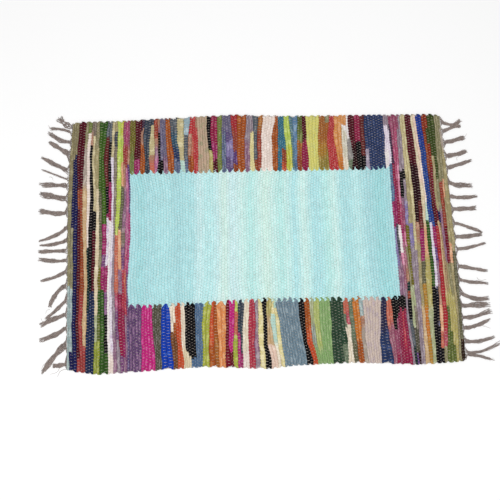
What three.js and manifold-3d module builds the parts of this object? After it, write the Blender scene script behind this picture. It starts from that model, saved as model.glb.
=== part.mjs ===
// A dhurrie: a flat-woven cotton rug of rag strips. The strips are the weft, so they run the short
// way and raise one rib each. The warp's own ends are left as a fringe of locks along both short
// ends. Millimetres, +Z up. The rug lies on z = 0, and the origin is the centre of its underside.

import * as THREE from 'three';
import { mergeVertices } from 'three/addons/utils/BufferGeometryUtils.js';
import Module from 'manifold-3d';

const wasm = await Module();
wasm.setup();

// Driving dimensions
const HALF_LENGTH = 450;
const THICKNESS = 6.4;
const RIB_COUNT = 138;
const RIB_HEIGHT = 1.8;
const SCALLOP_DEPTH = 2.4;
const SELVEDGE_BEVEL = 2.5;

// The strip that holds a fringe, beside the cloth's end
const STRIP_WIDTH = 4;
const STRIP_HEIGHT = 3.4;
const STRIP_END_INSET = 5;
const PARTING = 0.35;

const LOCK_HEIGHT = 3.2;
const LOCK_TIP_HEIGHT = 2.2;
const LOCK_TOP_SHARE = 0.6;
const LOCK_STEPS = 5;

// How a hand-woven edge wanders about the rug's nominal 900 by 600. Each row: a place along the
// side, and where the edge is there.
// Both ends bend at the same places, so the cloth and the strip beside it stay parallel.
const LEFT_END = [
  { along: -300, edge: -447 },
  { along: -150, edge: -450 },
  { along: 0, edge: -453 },
  { along: 150, edge: -456 },
  { along: 300, edge: -447 },
];
const RIGHT_END = [
  { along: -300, edge: 452 },
  { along: -150, edge: 452.5 },
  { along: 0, edge: 453 },
  { along: 150, edge: 450 },
  { along: 300, edge: 444 },
];
const NEAR_SELVEDGE = [
  { along: -450, edge: -294 },
  { along: -435, edge: -301 },
  { along: -380, edge: -309 },
  { along: -250, edge: -303 },
  { along: -140, edge: -298 },
  { along: 0, edge: -306 },
  { along: 60, edge: -300 },
  { along: 200, edge: -297 },
  { along: 340, edge: -306 },
  { along: 435, edge: -301 },
  { along: 450, edge: -297 },
];
const FAR_SELVEDGE = [
  { along: -450, edge: 289 },
  { along: -435, edge: 294 },
  { along: -340, edge: 295 },
  { along: -200, edge: 302 },
  { along: -60, edge: 308 },
  { along: 60, edge: 303 },
  { along: 420, edge: 303 },
  { along: 440, edge: 300 },
  { along: 450, edge: 295 },
];

// The locks of each fringe, far to near. root: where it leaves the cloth, along the end.
// bendOut, bend: a point that it bends through. tipOut, tip: its tip. Out is measured from the
// rug's nominal end. width, tipWidth: how broad it lies there.
const LEFT_LOCKS = [
  { root: 280, bendOut: 16, bend: 291, tipOut: 31, tip: 306, width: 15, tipWidth: 12 },
  { root: 267, bendOut: 24, bend: 277, tipOut: 51, tip: 278, width: 5, tipWidth: 6 },
  { root: 246, bendOut: 23, bend: 248, tipOut: 53, tip: 268, width: 7, tipWidth: 10 },
  { root: 211, bendOut: 25, bend: 227, tipOut: 51, tip: 244, width: 10, tipWidth: 7 },
  { root: 171, bendOut: 30, bend: 184, tipOut: 65, tip: 205, width: 9, tipWidth: 8 },
  { root: 149, bendOut: 26, bend: 158, tipOut: 64, tip: 174, width: 3, tipWidth: 2 },
  { root: 136, bendOut: 32, bend: 136, tipOut: 69, tip: 137, width: 9, tipWidth: 10 },
  { root: 103, bendOut: 32, bend: 106, tipOut: 67, tip: 115, width: 10, tipWidth: 12 },
  { root: 67, bendOut: 33, bend: 67, tipOut: 68, tip: 73, width: 8, tipWidth: 10 },
  { root: 37, bendOut: 24, bend: 17, tipOut: 64, tip: 0.5, width: 8, tipWidth: 5 },
  { root: 5, bendOut: 25, bend: -6, tipOut: 62, tip: -10, width: 8, tipWidth: 5 },
  { root: -24, bendOut: 32, bend: -24, tipOut: 66, tip: -26, width: 6, tipWidth: 8 },
  { root: -44, bendOut: 26, bend: -48, tipOut: 64, tip: -43, width: 6, tipWidth: 8 },
  { root: -71, bendOut: 26, bend: -84, tipOut: 58, tip: -94, width: 7, tipWidth: 5 },
  { root: -103, bendOut: 24, bend: -123, tipOut: 38, tip: -152, width: 8, tipWidth: 7 },
  { root: -137, bendOut: 21, bend: -159, tipOut: 45, tip: -181, width: 7, tipWidth: 5 },
  { root: -171, bendOut: 25, bend: -181, tipOut: 56, tip: -195, width: 8, tipWidth: 9 },
  { root: -198, bendOut: 22, bend: -217, tipOut: 56, tip: -229, width: 7, tipWidth: 10 },
  { root: -238, bendOut: 22, bend: -263, tipOut: 49, tip: -301, width: 12, tipWidth: 8 },
  { root: -285, bendOut: 14, bend: -287, tipOut: 27, tip: -288, width: 8, tipWidth: 7 },
];
const RIGHT_LOCKS = [
  { root: 284, bendOut: 18, bend: 280, tipOut: 43, tip: 286, width: 6, tipWidth: 6 },
  { root: 257, bendOut: 18, bend: 266, tipOut: 42, tip: 272, width: 8, tipWidth: 8 },
  { root: 229, bendOut: 26, bend: 235, tipOut: 50, tip: 242, width: 8, tipWidth: 9 },
  { root: 194, bendOut: 26, bend: 198, tipOut: 51, tip: 206, width: 9, tipWidth: 8 },
  { root: 162, bendOut: 26, bend: 171, tipOut: 60, tip: 182, width: 8, tipWidth: 7 },
  { root: 130, bendOut: 18, bend: 121, tipOut: 54, tip: 119, width: 7, tipWidth: 12 },
  { root: 97, bendOut: 18, bend: 89, tipOut: 62, tip: 90, width: 7, tipWidth: 7 },
  { root: 61, bendOut: 28, bend: 60, tipOut: 60, tip: 62, width: 8, tipWidth: 9 },
  { root: 27, bendOut: 30, bend: 18, tipOut: 67, tip: 3, width: 6, tipWidth: 5 },
  { root: -9, bendOut: 26, bend: -8, tipOut: 65, tip: -5, width: 8, tipWidth: 8 },
  { root: -38, bendOut: 30, bend: -36, tipOut: 71, tip: -26, width: 8, tipWidth: 4 },
  { root: -78, bendOut: 30, bend: -84, tipOut: 69, tip: -92, width: 8, tipWidth: 5 },
  { root: -110, bendOut: 26, bend: -117, tipOut: 67, tip: -121, width: 6, tipWidth: 6 },
  { root: -138, bendOut: 28, bend: -155, tipOut: 66, tip: -158, width: 7, tipWidth: 9 },
  { root: -173, bendOut: 26, bend: -173, tipOut: 67, tip: -171, width: 6, tipWidth: 13 },
  { root: -199, bendOut: 26, bend: -200, tipOut: 68, tip: -188, width: 6, tipWidth: 9 },
  { root: -223, bendOut: 28, bend: -222, tipOut: 64, tip: -207, width: 8, tipWidth: 6 },
  { root: -254, bendOut: 28, bend: -257, tipOut: 69, tip: -249, width: 8, tipWidth: 6 },
  { root: -277, bendOut: 32, bend: -281, tipOut: 84, tip: -262, width: 6, tipWidth: 6 },
  { root: -287, bendOut: 28, bend: -289, tipOut: 64, tip: -300, width: 5, tipWidth: 5 },
];

const CROSS_LEVELS = LEFT_END.slice(1, -1).map((row) => row.along);

// Straight lines between a table's rows
function edgeAt(table, along) {
  const last = table.length - 1;
  if (along <= table[0].along) return table[0].edge;
  if (along >= table[last].along) return table[last].edge;
  const next = table.findIndex((row) => row.along > along);
  const [before, after] = [table[next - 1], table[next]];
  const share = (along - before.along) / (after.along - before.along);
  return THREE.MathUtils.lerp(before.edge, after.edge, share);
}

// How far the cloth's own end stands back from the rug's end
const CLOTH_SETBACK = STRIP_WIDTH + PARTING;

function clothX(share, y) {
  const left = edgeAt(LEFT_END, y) + CLOTH_SETBACK;
  const right = edgeAt(RIGHT_END, y) - CLOTH_SETBACK;
  return THREE.MathUtils.lerp(left, right, share);
}

// A rib is a rounded ridge: heights at its start, quarter, middle and three quarters
const RIB_PROFILE = [0, 0.72, 1, 0.72];

function ribTop(station) {
  const valley = THICKNESS - RIB_HEIGHT;
  return valley + RIB_HEIGHT * RIB_PROFILE[station % RIB_PROFILE.length];
}

// The weft turns back at the selvedge every two ribs, which scallops it
function scallop(ribs) {
  return SCALLOP_DEPTH * (Math.abs(Math.sin((Math.PI * ribs) / 2)) - 1);
}

// The cloth's points over one station of its length, near side to far side, top points only:
// the near outline on the ground, the bevelled top, and the far outline on the ground.
function clothRow(station, stations) {
  const share = station / stations;
  const ribs = share * RIB_COUNT;
  const along = THREE.MathUtils.lerp(-HALF_LENGTH, HALF_LENGTH, share);
  const near = edgeAt(NEAR_SELVEDGE, along) - scallop(ribs);
  const far = edgeAt(FAR_SELVEDGE, along) + scallop(ribs + 1);
  const top = ribTop(station);
  const places = [near + SELVEDGE_BEVEL, ...CROSS_LEVELS, far - SELVEDGE_BEVEL];
  return [
    new THREE.Vector3(clothX(share, near), near, 0),
    ...places.map((y) => new THREE.Vector3(clothX(share, y), y, top)),
    new THREE.Vector3(clothX(share, far), far, 0),
  ];
}

function onGround(point) {
  return new THREE.Vector3(point.x, point.y, 0);
}

// Merges a list of triangles into one closed mesh geometry
function closedGeometry(triangles) {
  const positions = triangles.flatMap((point) => point.toArray());
  const geometry = new THREE.BufferGeometry();
  geometry.setAttribute('position', new THREE.Float32BufferAttribute(positions, 3));
  return mergeVertices(geometry, 1e-4);
}

function wovenCloth() {
  const stations = RIB_COUNT * RIB_PROFILE.length;
  const rows = Array.from({ length: stations + 1 }, (_, i) => clothRow(i, stations));
  const width = rows[0].length;
  const triangles = [];
  const quad = (a, b, c, d) => triangles.push(a, b, c, a, c, d);

  for (let i = 0; i < stations; i += 1) {
    for (let j = 0; j < width - 1; j += 1) {
      quad(rows[i][j], rows[i + 1][j], rows[i + 1][j + 1], rows[i][j + 1]);
    }
  }

  const [first, last] = [rows[0], rows[stations]];
  for (let j = 1; j < width - 2; j += 1) {
    quad(first[j], first[j + 1], onGround(first[j + 1]), onGround(first[j]));
    quad(last[j], onGround(last[j]), onGround(last[j + 1]), last[j + 1]);
  }
  const end = width - 1;
  triangles.push(first[0], first[1], onGround(first[1]));
  triangles.push(first[end - 1], first[end], onGround(first[end - 1]));
  triangles.push(last[0], onGround(last[1]), last[1]);
  triangles.push(last[end - 1], onGround(last[end - 1]), last[end]);

  const outline = [
    ...rows.map((row) => row[0]),
    ...last.slice(1, end).map(onGround),
    ...rows.map((row) => row[end]).reverse(),
    ...first.slice(1, end).map(onGround).reverse(),
  ];
  const flat = outline.map((point) => new THREE.Vector2(point.x, point.y));
  for (const [a, b, c] of THREE.ShapeUtils.triangulateShape(flat, [])) {
    triangles.push(outline[a], outline[c], outline[b]);
  }
  return closedGeometry(triangles);
}

// A closed solid through rings of four points each
function loft(rings) {
  const triangles = [];
  const quad = (a, b, c, d) => triangles.push(a, b, c, a, c, d);
  for (let i = 0; i < rings.length - 1; i += 1) {
    for (let j = 0; j < 4; j += 1) {
      const k = (j + 1) % 4;
      quad(rings[i][j], rings[i][k], rings[i + 1][k], rings[i + 1][j]);
    }
  }
  const tail = rings[rings.length - 1];
  quad(...[...rings[0]].reverse());
  quad(...tail);
  return closedGeometry(triangles);
}

// One lock of warp ends: a four-sided tuft that lies level on the ground from root to tip
function lockRings(lock, side, ends) {
  const rootX = edgeAt(ends, lock.root) - (side * STRIP_WIDTH) / 2;
  const root = new THREE.Vector2(rootX, lock.root);
  const bend = new THREE.Vector2(side * (HALF_LENGTH + lock.bendOut), lock.bend);
  const tip = new THREE.Vector2(side * (HALF_LENGTH + lock.tipOut), lock.tip);
  const control = bend.clone().multiplyScalar(2).sub(root.clone().add(tip).multiplyScalar(0.5));
  const curve = new THREE.QuadraticBezierCurve(root, control, tip);

  const rings = Array.from({ length: LOCK_STEPS + 1 }, (_, step) => {
    const share = step / LOCK_STEPS;
    const middle = curve.getPoint(share);
    const along = curve.getTangent(share);
    const across = step === 0 ? new THREE.Vector2(0, side) : new THREE.Vector2(-along.y, along.x);
    const half = THREE.MathUtils.lerp(lock.width, lock.tipWidth, share) / 2;
    const height = THREE.MathUtils.lerp(LOCK_HEIGHT, LOCK_TIP_HEIGHT, share);
    const point = (reach, z) => {
      const flat = middle.clone().addScaledVector(across, reach);
      return new THREE.Vector3(flat.x, flat.y, z);
    };
    const topHalf = half * LOCK_TOP_SHARE;
    return [point(half, 0), point(-half, 0), point(-topHalf, height), point(topHalf, height)];
  });
  return rings.reverse();
}

// The narrow strip along the cloth's end that the locks grow from
function stripRings(side, ends) {
  const nearEnd = edgeAt(NEAR_SELVEDGE, side * HALF_LENGTH) + STRIP_END_INSET;
  const farEnd = edgeAt(FAR_SELVEDGE, side * HALF_LENGTH) - STRIP_END_INSET;
  return [nearEnd, ...CROSS_LEVELS, farEnd].map((y) => {
    const outer = edgeAt(ends, y);
    const xs = [outer, outer - side * STRIP_WIDTH].sort((a, b) => a - b);
    return [
      new THREE.Vector3(xs[0], y, 0),
      new THREE.Vector3(xs[0], y, STRIP_HEIGHT),
      new THREE.Vector3(xs[1], y, STRIP_HEIGHT),
      new THREE.Vector3(xs[1], y, 0),
    ];
  });
}

function toSolid(geometry) {
  const vertProperties = new Float32Array(geometry.attributes.position.array);
  const triVerts = new Uint32Array(geometry.index.array);
  return new wasm.Manifold(new wasm.Mesh({ numProp: 3, vertProperties, triVerts }));
}

function toGeometry(solid) {
  const mesh = solid.getMesh();
  const geometry = new THREE.BufferGeometry();
  geometry.setAttribute('position', new THREE.BufferAttribute(mesh.vertProperties, 3));
  geometry.setIndex(new THREE.BufferAttribute(mesh.triVerts, 1));
  return geometry;
}

function fringe(side, ends, locks) {
  let solid = toSolid(loft(stripRings(side, ends)));
  for (const lock of locks) {
    solid = solid.add(toSolid(loft(lockRings(lock, side, ends))));
  }
  return toGeometry(solid);
}

function named(name, geometry, material) {
  geometry.computeVertexNormals();
  const mesh = new THREE.Mesh(geometry, material);
  mesh.name = name;
  return mesh;
}

const ragCotton = new THREE.MeshStandardMaterial({ color: 0xa8c4bd, roughness: 0.92, metalness: 0 });
const warpCotton = new THREE.MeshStandardMaterial({ color: 0x8f8279, roughness: 0.95, metalness: 0 });

const rug = new THREE.Group();
rug.add(named('woven_cloth', wovenCloth(), ragCotton));
rug.add(named('fringe_left', fringe(-1, LEFT_END, LEFT_LOCKS), warpCotton));
rug.add(named('fringe_right', fringe(1, RIGHT_END, RIGHT_LOCKS), warpCotton));

export default rug;
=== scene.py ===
# A rag dhurrie: cotton rag strips laid as weft across a greige cotton warp, with a pale aqua panel
# woven in and the warp's own ends left as a fringe. Sizes are in millimetres until a mesh is written.
import math

import bpy
import numpy as np
from mathutils import Matrix, Vector


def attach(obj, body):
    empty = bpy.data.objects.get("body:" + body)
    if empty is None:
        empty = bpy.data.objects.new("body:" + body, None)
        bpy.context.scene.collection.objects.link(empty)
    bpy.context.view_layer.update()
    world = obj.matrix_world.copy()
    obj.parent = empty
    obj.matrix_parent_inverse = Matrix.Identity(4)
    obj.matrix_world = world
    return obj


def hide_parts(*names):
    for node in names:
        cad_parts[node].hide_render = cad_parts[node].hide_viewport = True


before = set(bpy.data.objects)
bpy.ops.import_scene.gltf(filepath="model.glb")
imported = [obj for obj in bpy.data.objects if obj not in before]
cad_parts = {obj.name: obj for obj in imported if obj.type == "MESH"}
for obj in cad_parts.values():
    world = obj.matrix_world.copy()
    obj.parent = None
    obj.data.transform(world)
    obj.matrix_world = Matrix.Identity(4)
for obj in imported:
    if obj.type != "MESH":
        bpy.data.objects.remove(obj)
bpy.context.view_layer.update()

MM = 0.001
rng = np.random.default_rng(7309)

# The weave: picks are the rag wefts, counted from the left end, and warps are counted from the near side.
PICKS = 138
WARPS = 178
BAND_PICKS = 21
FIRST_INNER = BAND_PICKS
LAST_INNER = PICKS - BAND_PICKS - 1

# A rag lies at mid height and rises or falls by the crimp as it passes over or under a warp. It swells
# and spreads over a warp, to these shares of its own width.
MID_HEIGHT = 3.2
CRIMP = 0.5
RAG_THICKNESS = 3.5
RAG_SWELL = 0.4
HUMP_SPREAD = 1.23
PINCH_SPREAD = 1.02
RAG_SHOULDER = 0.64
RAG_GIRTH = 17.0
# A hand-laid rag is uneven: how far its sides wander, its width as a share, then its middle, its rise
# and the points of its skin.
WANDER = 0.32
WANDER_LENGTHS = (34, 58, 95)
UNEVEN_WIDTH = 0.035
UNEVEN_MIDDLE = 0.14
UNEVEN_RISE = 0.08
UNEVEN_SKIN = 0.06
# Where one rag gives way to the next it is cut on a slant, and strays from the chart's place. Rags whose
# dyes are this close fade together over a length, and others change at the cut.
RAG_END_SLANT = 3.5
RAG_END_STRAY = 4
CLOSE_DYES = 0.32
FADE_LENGTH = 26
CUT_LENGTH = 0.01

# How a rag turns back at a join and at a selvedge: half the gap between its two lengths, how far the
# loop reaches out and how much it narrows, as shares of that, and over how long it is drawn in.
JOIN_TURN = {"gap": 2.7, "depth": 1.0, "squeeze": 0.2, "reach": 5.0}
SELVEDGE_TURN = {"gap": 3.2, "depth": 0.35, "squeeze": 0.6, "reach": 2.5}
SELVEDGE_GAP_SHARE = 0.49
TURN_START = 0.5
TURN_FILL = 1.1
TURN_HALF_THICKNESS = 1.5
TURN_STEPS = 4
# At the joins the border's turns lie over the panel's, which sinks towards them.
TURN_LIFT = 0.7
SINK_REACH = 12.0

WARP_RADIUS = 0.46
YARN_SIDES = 4
YARN_LIFT = 1.1

# Where the two long sides and the two ends of the cloth run: place along the side, and the edge there.
NEAR_SELVEDGE = ((-450, -294), (-435, -301), (-380, -309), (-250, -303), (-140, -298), (0, -306),
                 (60, -300), (200, -297), (340, -306), (435, -301), (450, -297))
FAR_SELVEDGE = ((-450, 289), (-435, 294), (-340, 295), (-200, 302), (-60, 308), (60, 303),
                (420, 303), (440, 300), (450, 295))
LEFT_END = ((-300, -446), (-150, -449), (0, -452), (150, -455), (300, -446))
RIGHT_END = ((-300, 451), (-150, 451.5), (0, 452), (150, 449), (300, 443))
PANEL_RIGHT = ((-300, 314), (-100, 313), (50, 310), (170, 311), (300, 314))

# Where the border's wefts and the panel's turn back round one warp, in teeth.
FAR_JOIN = ((-300, 164), (0, 166), (300, 167))
NEAR_JOIN = ((-300, -159), (-200, -158), (-100, -155), (0, -150), (100, -152), (300, -153))
# Two broad wefts near here turn as one round tooth, and the panel keeps out from between them.
ROUND_TEETH = (-269, -172)
ROUND_TOOTH_REACH = 4

# The rags by their dye: face, back of the cloth, and the share of the back that shows.
RAGS = {
    "brown khaki": ("#827858", "#a29878", 0.35),
    "khaki": ("#9e926a", "#bcb08a", 0.35),
    "straw khaki": ("#bbae82", "#d2c8a0", 0.4),
    "yellow khaki": ("#aea262", "#c4bb84", 0.35),
    "olive khaki": ("#868060", "#a49c7c", 0.35),
    "olive": ("#6a6220", "#8a8244", 0.3),
    "moss": ("#6c783e", "#8e985e", 0.35),
    "greige": ("#a2958a", "#c0b4a6", 0.4),
    "beige": ("#b8ab84", "#d4c8a2", 0.4),
    "cream beige": ("#d2c2a2", "#e2d6bc", 0.4),
    "pink beige": ("#cbbaaf", "#baaaae", 0.4),
    "tan": ("#c2a47c", "#d4bc98", 0.35),
    "mottled tan": ("#bca28b", "#a0987a", 0.4),
    "dotted tan": ("#a68a68", "#4a3328", 0.3),
    "cream": ("#dccfba", "#eee4d2", 0.4),
    "white": ("#e8e2e0", "#d8c2ca", 0.2),
    "white lilac": ("#e0d8e2", "#c4acca", 0.3),
    "pink white": ("#e4d4ca", "#f0e4dc", 0.4),
    "stone white": ("#ccc6b2", "#dedace", 0.4),
    "pink cream": ("#dcbfae", "#e8d2c2", 0.4),
    "sage": ("#a2a880", "#bec2a4", 0.4),
    "green": ("#3a5c18", "#587430", 0.3),
    "dark green": ("#28402e", "#465c4c", 0.3),
    "bottle green": ("#2c5018", "#4a6c34", 0.3),
    "olive green": ("#56622a", "#78824a", 0.3),
    "dark olive": ("#4e4c3c", "#76706c", 0.4),
    "dark moss": ("#38461a", "#566236", 0.3),
    "light green": ("#82a468", "#9cb680", 0.4),
    "leaf green": ("#a8b268", "#bcc286", 0.4),
    "lime": ("#b2c458", "#ccd884", 0.35),
    "yellow lime": ("#bcbe46", "#d4d278", 0.35),
    "lime yellow": ("#d3cd72", "#caca7c", 0.4),
    "dark lime": ("#8a9234", "#a8ae60", 0.35),
    "yellow green": ("#a0a640", "#bcc06c", 0.35),
    "pale yellow": ("#d8cc92", "#e8deb4", 0.4),
    "ochre olive": ("#8c7a34", "#a8985a", 0.35),
    "ochre": ("#a87a2e", "#c4984e", 0.3),
    "orange": ("#be702c", "#d09058", 0.3),
    "light orange": ("#cc8a4c", "#dca474", 0.4),
    "orange peach": ("#d68850", "#e4a878", 0.4),
    "peach": ("#d8a07a", "#e6bc9c", 0.4),
    "rust orange": ("#9a4b1c", "#b46a3a", 0.35),
    "rust": ("#883e22", "#a25c3c", 0.35),
    "rust red": ("#842c16", "#a04c30", 0.3),
    "orange red": ("#ba4a2a", "#cc7048", 0.35),
    "brown": ("#6a4022", "#8a5c3a", 0.3),
    "rust brown": ("#9a5c28", "#b47c48", 0.35),
    "rose tan": ("#a47660", "#c49a84", 0.35),
    "salmon": ("#bc6450", "#d48c76", 0.35),
    "rose brick": ("#a84c58", "#c47880", 0.35),
    "rose": ("#a8486a", "#c47894", 0.35),
    "muted rose": ("#8e4460", "#ac6c84", 0.35),
    "rose mauve": ("#94586c", "#b07c8c", 0.4),
    "bright red": ("#b03438", "#c8605e", 0.35),
    "rose red": ("#a83448", "#c46068", 0.3),
    "red brick": ("#963a38", "#b05a56", 0.3),
    "brick": ("#8c3c2e", "#aa5e4c", 0.3),
    "red": ("#a02a32", "#be5052", 0.3),
    "crimson": ("#8a1c42", "#a84264", 0.3),
    "maroon red": ("#6a1024", "#88303e", 0.3),
    "dark maroon": ("#4c0a1a", "#682434", 0.25),
    "maroon black": ("#260610", "#3a121e", 0.2),
    "maroon brown": ("#5c2222", "#7c4240", 0.3),
    "magenta": ("#8e2258", "#b05080", 0.35),
    "bright magenta": ("#a02a6a", "#c05c92", 0.35),
    "hot pink": ("#bc2478", "#d05a9c", 0.3),
    "pink": ("#cc7c9a", "#e0a8bc", 0.4),
    "mauve": ("#86607a", "#a68698", 0.4),
    "pink mauve": ("#ac6088", "#c890ac", 0.4),
    "mauve purple": ("#70446e", "#90688c", 0.4),
    "purple": ("#5c3a74", "#7c5e94", 0.35),
    "mottled purple": ("#5a4068", "#866488", 0.45),
    "slate purple": ("#5a4a76", "#7c6c94", 0.4),
    "dusk lilac": ("#625c78", "#807a92", 0.4),
    "dark purple": ("#3a2240", "#58405c", 0.3),
    "purple navy": ("#292746", "#434066", 0.3),
    "lavender": ("#7e72a0", "#a096bc", 0.4),
    "grey lilac": ("#9a90a2", "#bab2c0", 0.4),
    "grey": ("#8a8684", "#a8a6a2", 0.4),
    "mauve grey": ("#8c7c88", "#aca0a8", 0.4),
    "grey brown": ("#74685c", "#968a80", 0.4),
    "dark grey": ("#40424a", "#5e6068", 0.3),
    "iron grey": ("#50565e", "#70767c", 0.35),
    "grey olive": ("#5c5a44", "#7c7a62", 0.35),
    "green grey": ("#868e84", "#a6aea4", 0.4),
    "grey green": ("#62705a", "#84907a", 0.4),
    "navy": ("#16184a", "#303468", 0.25),
    "indigo": ("#1c3488", "#3c54a0", 0.3),
    "blue": ("#1f3f86", "#3f5c9c", 0.3),
    "royal blue": ("#103aa4", "#3058b8", 0.3),
    "midnight": ("#1a2648", "#324062", 0.3),
    "slate navy": ("#25345a", "#3e4e78", 0.35),
    "dark slate": ("#333c4a", "#525c68", 0.35),
    "dusk blue": ("#56617e", "#76809a", 0.4),
    "steel blue": ("#5c7c9c", "#84a0b8", 0.4),
    "slate blue": ("#4c6888", "#6c86a2", 0.4),
    "slate": ("#6c8290", "#8c9ea8", 0.4),
    "grey blue": ("#93a6a6", "#b4c2c0", 0.4),
    "dark teal": ("#2e4e62", "#4c6c80", 0.35),
    "teal": ("#2e6a82", "#548a9a", 0.35),
    "teal grey": ("#50727c", "#7896a0", 0.35),
    "pale blue": ("#8ea6b0", "#b2c2c8", 0.4),
    "pale aqua": ("#b0d0c4", "#cce0d6", 0.4),
    "dark umber": ("#2e2018", "#564232", 0.3),
    "black": ("#060509", "#18161c", 0.3),
    "black green": ("#0e2826", "#27403e", 0.3),
    "flecked black": ("#0a0814", "#8a86a0", 0.1),
    # The panel: one pale aqua jersey from several dye lots
    "aqua": ("#b6e3e6", "#c0e8ea", 0.3),
    "deep aqua": ("#a8dde0", "#b2e2e4", 0.3),
    "grey aqua": ("#b2dfe3", "#bce4e7", 0.3),
    "light aqua": ("#c2eaeb", "#ccefef", 0.3),
    "sky aqua": ("#bae7ea", "#c4ecee", 0.3),
    "mint": ("#c0ebe8", "#caefed", 0.3),
    "pale mint": ("#d0efeb", "#d9f3f0", 0.3),
    "lilac mist": ("#d0edee", "#d9f1f3", 0.3),
    "straw mint": ("#d4eee4", "#dcf2ea", 0.3),
}

# The charts. Each row is a stripe: its picks, its right-hand side at the levels that the chart is
# read at, and its cloths from the far end down, with the place where one rag gives way to the next.
BAND_LEVELS = (290, 200, 100, 0, -100, -200, -290)
LEFT_BAND = (
    (1, (-443, -443, -444, -446, -444, -445, -441),
     ("brown khaki", 110, "olive khaki", -113, "grey blue")),
    (1, (-437, -439.5, -437.5, -440, -437.5, -438, -433),
     ("brown khaki", 203, "navy", 30, "olive khaki", -113, "grey blue", -250, "navy")),
    (1, (-431, -435, -431, -430, -429, -429, -424), ("brown khaki", 203, "navy")),
    (1, (-422.5, -428, -426, -423, -422.5, -424, -416),
     ("dark maroon", 120, "rust", 75, "dark maroon", -265, "red brick")),
    (1, (-414.5, -419, -421, -417.5, -412.5, -415, -411),
     ("dark maroon", 125, "brick", 70, "rust", -130, "red brick")),
    (1, (-408, -412, -410, -409, -405, -405, -406),
     ("olive khaki", 225, "greige", 130, "tan", -248, "red brick")),
    (1, (-400, -405, -402, -405, -400.5, -399, -400),
     ("moss", 262, "pink white", -20, "black green", -165, "midnight")),
    (1, (-394.5, -400, -394, -396, -396, -393, -394),
     ("grey brown", 260, "rose tan", 232, "black", -125, "midnight")),
    (1, (-389, -393.5, -388, -388, -390, -387, -387.5),
     ("grey brown", 262, "beige", 72, "black", 25, "dark maroon", -120, "midnight")),
    (1, (-382, -383, -382, -379, -381, -380.5, -381),
     ("olive khaki", 225, "khaki", 120, "cream beige", -175, "sage", -235, "dark lime")),
    (1, (-373, -377.5, -375, -372.5, -375, -374, -374),
     ("bottle green", 265, "green", 120, "grey olive", -25, "olive khaki", -75, "olive", -120,
      "bottle green", -180, "olive green", -240, "dark lime")),
    (1, (-363, -372, -365, -362.5, -367, -365, -364),
     ("bottle green", 262, "green", 37, "magenta", -40, "mauve purple", -65, "magenta", -120,
      "bottle green")),
    (1, (-357.5, -361, -359, -357.5, -360, -359, -355),
     ("iron grey", 255, "maroon brown", 130, "black", 65, "magenta", 47, "white lilac", -70,
      "magenta", -130, "mauve purple", -177, "black", -265, "bottle green")),
    (1, (-352, -355, -352, -352.5, -355, -353, -349),
     ("iron grey", 240, "black", 142, "magenta", 88, "crimson", 47, "white", -262,
      "pink white")),
    (1, (-345.5, -348, -347, -347.5, -350, -347, -343),
     ("beige", 200, "white lilac", -265, "pink white")),
    (1, (-339, -340, -341, -344, -344, -340, -335),
     ("khaki", 265, "dark grey", 225, "grey brown", 15, "mauve grey", -225, "mauve")),
    (1, (-332, -330, -330, -337.5, -335, -334, -327),
     ("lime", 12, "salmon", -125, "rose", -165, "mauve purple", -225, "mauve grey")),
    (1, (-325.5, -326.5, -323, -330, -326, -326.5, -319),
     ("yellow lime", 262, "lime", 180, "peach", 130, "grey olive", 20, "peach", -75, "mauve", -125,
      "crimson", -270, "mauve purple")),
    (1, (-319, -321.5, -317.5, -320, -322, -319, -315),
     ("muted rose", 230, "red brick", 175, "rose tan", 125, "mauve", 20, "grey brown", -20,
      "mauve purple", -75, "rose red", -165, "crimson", -235, "magenta", -270, "mauve")),
    (1, (-314, -316.5, -311, -312.5, -317.5, -314, -311.5),
     ("rose", 230, "red brick", 175, "pink mauve", -25, "rose", -75, "salmon", -125, "rose red", -180,
      "mauve", -270, "mauve purple")),
    (1, (-309.5, -311, -308.5, -308, -314, -310, -308),
     ("muted rose", 228, "rose tan", 185, "purple", 60, "bright magenta", -82, "mauve purple", -200,
      "slate purple")),
)
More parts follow.
